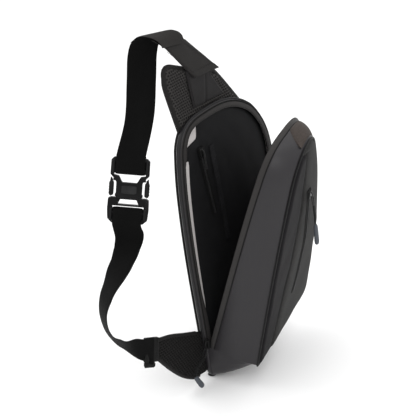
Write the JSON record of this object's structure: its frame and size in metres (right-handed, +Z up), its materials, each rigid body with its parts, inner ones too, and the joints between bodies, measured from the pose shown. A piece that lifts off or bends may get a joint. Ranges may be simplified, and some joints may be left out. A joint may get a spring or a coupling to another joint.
{
  "type": "sling bag",
  "caption": "Open sling bag with a padded back, mesh yoke and wing, a webbing strap with a side-release buckle, and a front shell that folds out from a zipped mouth.",
  "frame": {"origin": "middle of the flat patch under the near bottom corner, on the ground the bag stands on", "axes": "+Z up, -Y towards the bag's front, -X towards the side with the zipped mouth and the strap"},
  "size_m": [0.3712, 0.2157, 0.5052],
  "materials": {
    "air_mesh": "spacer mesh with small holes",
    "satin_fabric": "smooth coated fabric with a soft sheen",
    "border_fabric": "smooth coated fabric",
    "front_fabric": "coarse two-tone weave",
    "patch_fabric": "coarse weave",
    "strip_fabric": "plain weave with stitching",
    "pocket_fabric": "plain weave",
    "lining": "thin plain weave",
    "webbing": "ribbed woven webbing",
    "binding": "folded ribbed tape",
    "piping": "corded edge",
    "zip_tape": "coil zip on woven tape",
    "zip_band": "coated water-resistant zip tape",
    "cord": "braided cord",
    "slider_metal": "black paint, lightly worn",
    "grip_rubber": "moulded rubber with ribs",
    "buckle_plastic": "moulded plastic with a fine grain"
  },
  "bodies": {
    "back": {"back_panel": "air_mesh", "back_sidewall": "satin_fabric", "rim_piping": "piping", "rear_piping": "piping", "back_zip_tape": "zip_tape", "back_lining": "lining", "inner_pocket": "pocket_fabric", "inner_zip_tape": "zip_tape", "lower_gusset": "satin_fabric", "base_patch": "pocket_fabric", "yoke_pad": "air_mesh", "yoke_binding": "binding", "yoke_centre_strip": "strip_fabric", "strap_flap": "strip_fabric", "wing_pad": "air_mesh", "wing_binding_upper": "binding", "wing_binding_lower": "binding", "wing_tab": "strip_fabric"},
    "shell": {"shell_zip_tape": "zip_band", "shell_gusset": "satin_fabric", "front_border": "border_fabric", "front_panel": "front_fabric", "front_piping": "piping", "pocket_zip_tape": "zip_tape", "top_patch": "patch_fabric"},
    "main_slider": {"main_slider": "slider_metal"},
    "main_pull": {"main_pull_ring": "slider_metal", "main_pull_cord": "cord", "main_pull_grip": "grip_rubber"},
    "pocket_slider": {"pocket_slider": "slider_metal"},
    "pocket_pull": {"pocket_pull_ring": "slider_metal", "pocket_pull_cord": "cord", "pocket_pull_grip": "grip_rubber"},
    "inner_slider": {"inner_slider": "slider_metal"},
    "inner_pull": {"inner_pull": "slider_metal"},
    "strap": {"lower_webbing": "webbing", "buckle_female": "buckle_plastic"},
    "buckle_male": {"upper_webbing": "webbing", "buckle_male": "buckle_plastic"},
    "arm_right": {"buckle_arm_right": "buckle_plastic"},
    "arm_left": {"buckle_arm_left": "buckle_plastic"}
  },
  "joints": [
    {"name": "bag_opening", "type": "hinge", "parent": "back", "child": "shell", "pos_m": [-0.023, 0, 0.055], "axis": [0.803, 0, 0.596], "range_deg": [-26.3, 0]},
    {"name": "main_zip", "type": "slide", "parent": "back", "child": "main_slider", "axis": [-0.0652, 0, 0.9979], "range_m": [0, 0.14]},
    {"name": "main_pull_swing", "type": "hinge", "parent": "main_slider", "child": "main_pull", "pos_m": [-0.03118, -0.0042, 0.05747], "axis": [0, 1, 0], "range_deg": [-20, 45]},
    {"name": "pocket_zip", "type": "slide", "parent": "shell", "child": "pocket_slider", "axis": [0.2402, 0.3206, -0.9162], "range_m": [0, 0.075]},
    {"name": "pocket_pull_swing", "type": "hinge", "parent": "pocket_slider", "child": "pocket_pull", "pos_m": [0.08672, -0.11983, 0.26191], "axis": [0.9627, 0.2659, 0.0503], "range_deg": [-60, 15]},
    {"name": "inner_zip", "type": "slide", "parent": "back", "child": "inner_slider", "axis": [0.1644, 0, -0.9864], "range_m": [0, 0.08]},
    {"name": "inner_pull_swing", "type": "hinge", "parent": "inner_slider", "child": "inner_pull", "pos_m": [0.01132, -0.005, 0.33211], "axis": [1, 0, 0], "range_deg": [-70, 0]},
    {"name": "strap_swing", "type": "hinge", "parent": "back", "child": "strap", "pos_m": [-0.133, 0.012, 0.105], "axis": [0.2809, -0.0224, 0.9595], "range_deg": [-12, 12]},
    {"name": "buckle_release", "type": "slide", "parent": "strap", "child": "buckle_male", "axis": [0.29, 0, 0.957], "range_m": [0, 0.038]},
    {"name": "arm_right_press", "type": "hinge", "parent": "buckle_male", "child": "arm_right", "pos_m": [-0.06657, 0.0277, 0.31735], "axis": [0.7697, 0.5943, -0.2332], "range_deg": [0, 3]},
    {"name": "arm_left_press", "type": "hinge", "parent": "buckle_male", "child": "arm_left", "pos_m": [-0.09387, 0.0663, 0.32563], "axis": [0.7697, 0.5943, -0.2332], "range_deg": [-3, 0]}
  ],
  "couplings": [
    {"joint": "main_zip", "follows": "bag_opening", "m_per_rad": -0.304}
  ]
}
